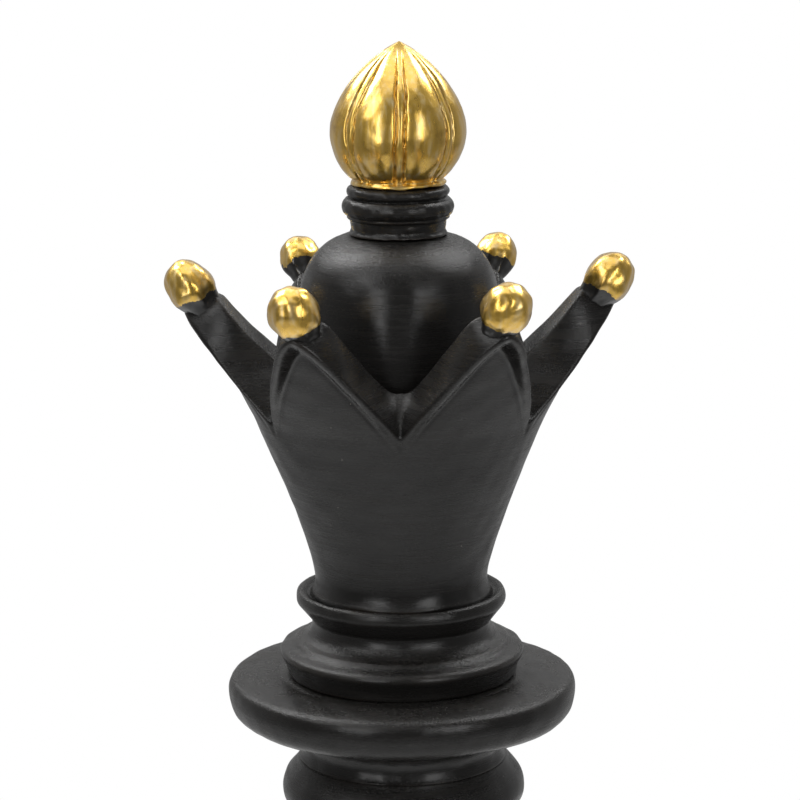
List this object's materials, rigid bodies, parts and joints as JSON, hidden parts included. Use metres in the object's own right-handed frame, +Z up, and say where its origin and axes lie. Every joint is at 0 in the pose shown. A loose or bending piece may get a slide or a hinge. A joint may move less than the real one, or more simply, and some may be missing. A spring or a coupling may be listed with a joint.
{
  "type": "giant chess queen",
  "caption": "Free-standing queen chess piece: dome inside a crown of outward-leaning points with gilded tips, bud finial, stacked collars, flared stem and weighted round foot.",
  "frame": {"origin": "on the floor at the centre of the foot's underside", "axes": "+Z up along the piece's axis, -Y towards the front valley of the crown, +X towards one point of the crown"},
  "size_m": [0.169, 0.16, 0.47],
  "materials": {
    "satin_black_resin": "satin black paint over cast resin",
    "gold_leaf": "gold leaf over cast resin, metallic",
    "zinc_steel": "zinc plated",
    "brass": "turned",
    "cast_iron": "as cast",
    "black_felt": "pressed felt"
  },
  "bodies": {
    "root": {"base_casting": "satin_black_resin", "stem": "satin_black_resin", "main_disc": "satin_black_resin", "double_collar": "satin_black_resin", "crown": "satin_black_resin", "dome": "satin_black_resin", "neck_collar": "satin_black_resin", "finial_bud": "gold_leaf", "gilded_tip_1": "gold_leaf", "gilded_tip_2": "gold_leaf", "gilded_tip_3": "gold_leaf", "gilded_tip_4": "gold_leaf", "gilded_tip_5": "gold_leaf", "gilded_tip_6": "gold_leaf", "base_plate": "zinc_steel", "tie_rod": "zinc_steel", "lower_washer": "zinc_steel", "lower_spring_washer": "zinc_steel", "lower_nut": "zinc_steel", "upper_washer": "zinc_steel", "upper_nut": "zinc_steel", "plate_screw_1": "zinc_steel", "plate_screw_2": "zinc_steel", "plate_screw_3": "zinc_steel", "plate_screw_4": "zinc_steel", "finial_insert": "brass", "ballast_ring": "cast_iron", "felt_pad": "black_felt"}
  },
  "joints": []
}
